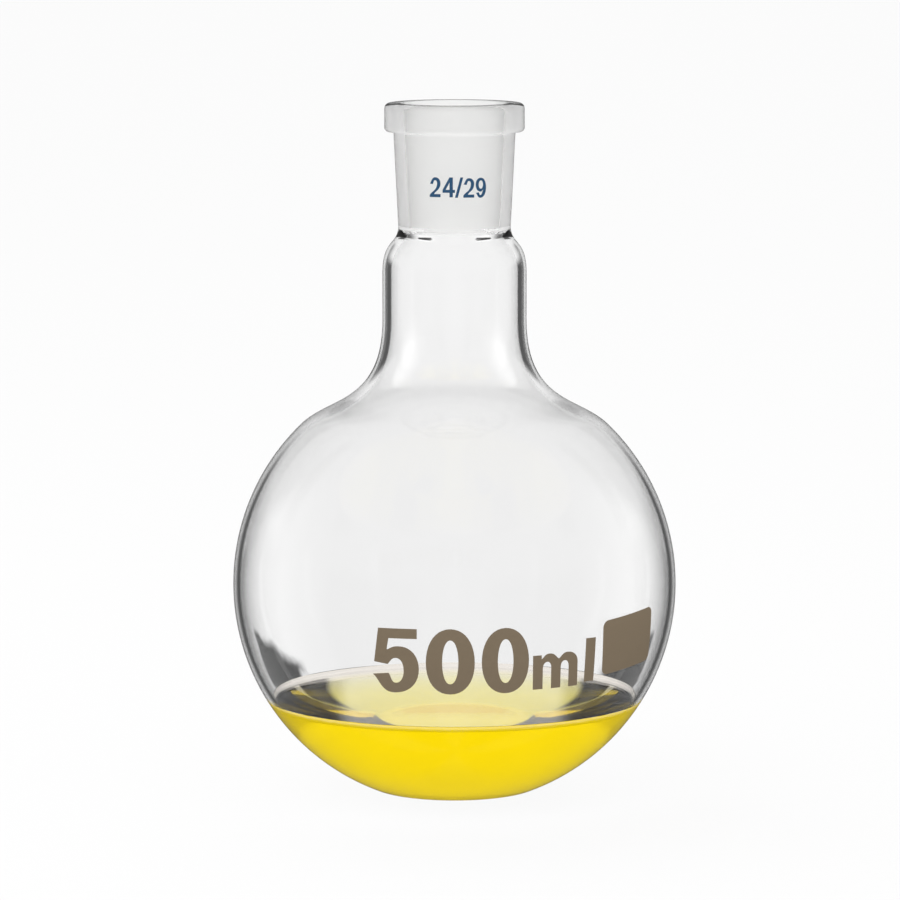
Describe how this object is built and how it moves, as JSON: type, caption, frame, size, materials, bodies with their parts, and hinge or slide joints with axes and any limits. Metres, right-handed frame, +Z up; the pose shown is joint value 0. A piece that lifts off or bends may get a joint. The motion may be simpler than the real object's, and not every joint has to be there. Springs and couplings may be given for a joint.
{
  "type": "flat-bottom boiling flask",
  "caption": "Round boiling flask with a flat foot, a short neck and a tapered ground-glass socket, standing with a little yellow liquid in its bulb.",
  "frame": {"origin": "centre of the foot, on the surface the flask stands on", "axes": "+Z up along the axis of the bulb, neck and socket; +X to the right and +Y away when the volume mark is read from the front"},
  "size_m": [0.105, 0.105, 0.163],
  "materials": {
    "clear_glass": "clear blown borosilicate glass, fire polished",
    "yellow_liquid": "clear yellow liquid, flat surface",
    "ground_glass": "ground, frosted",
    "brown_enamel": "fired enamel print, satin",
    "blue_enamel": "fired enamel print, satin"
  },
  "bodies": {
    "root": {"flask_body": "clear_glass", "yellow_liquid": "yellow_liquid"}
  },
  "joints": []
}
